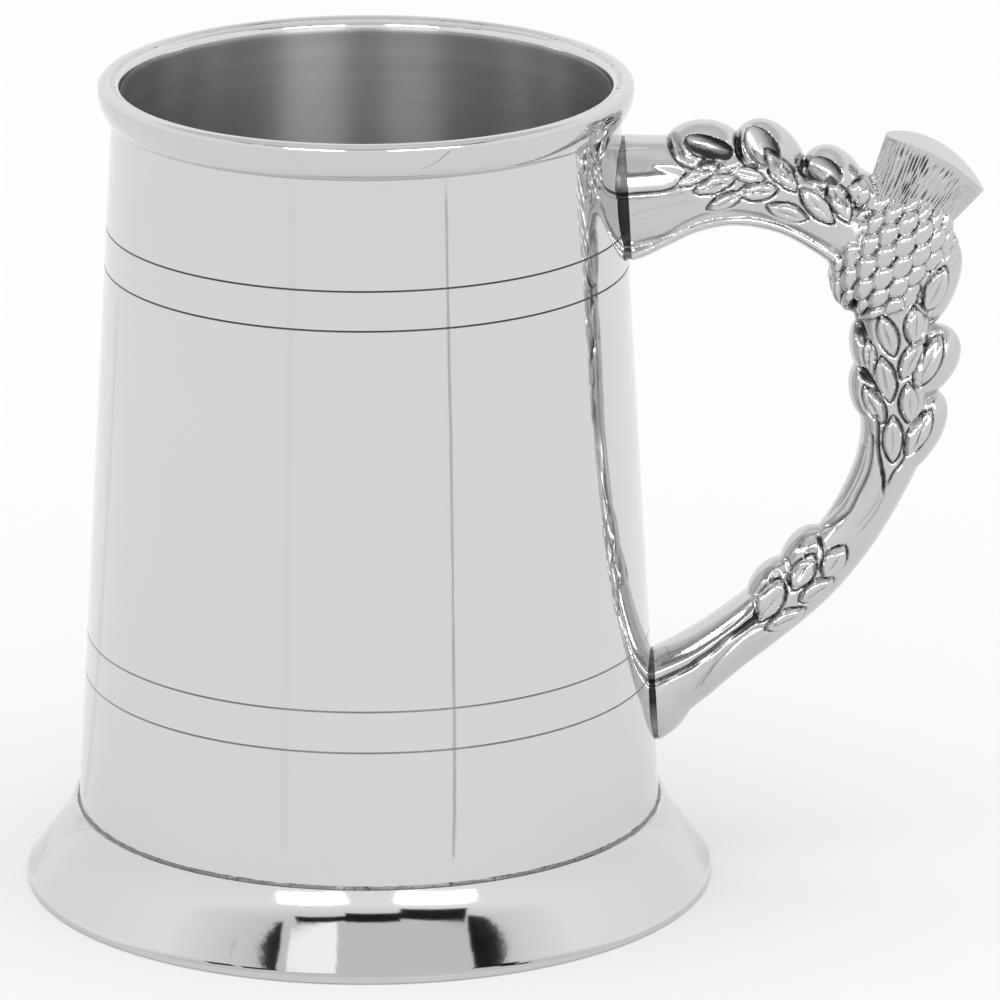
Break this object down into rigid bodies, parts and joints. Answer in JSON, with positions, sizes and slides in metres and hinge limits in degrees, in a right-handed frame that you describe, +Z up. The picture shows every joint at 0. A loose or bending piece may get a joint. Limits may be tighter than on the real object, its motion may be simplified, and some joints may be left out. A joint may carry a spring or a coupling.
{
  "type": "pint tankard",
  "caption": "Tapered pewter tankard with a flared ogee foot, a moulded mouth rim, turned lines and a cast thistle handle with a tuft thumb-piece.",
  "frame": {"origin": "centre of the foot's resting face, on the drum's axis, at the table", "axes": "+Z up the drum's axis to the mouth, +X from the axis towards the handle"},
  "size_m": [0.1466, 0.1058, 0.126],
  "materials": {
    "polished_drum": "bright polished pewter outside, satin spun pewter inside",
    "satin_floor": "satin spun pewter",
    "polished_foot": "bright polished pewter",
    "polished_rim": "bright polished pewter",
    "cast_handle": "polished cast pewter with dark oxidised recesses",
    "solder": "bright tin solder, slightly rough",
    "dark_solder": "oxidised solder in a recess"
  },
  "bodies": {
    "root": {"body_shell": "polished_drum", "floor_disc": "satin_floor", "foot": "polished_foot", "mouth_rim": "polished_rim", "handle": "cast_handle", "rim_solder": "solder", "foot_solder": "solder", "floor_solder": "solder", "upper_handle_solder": "dark_solder", "lower_handle_solder": "dark_solder"}
  },
  "joints": []
}
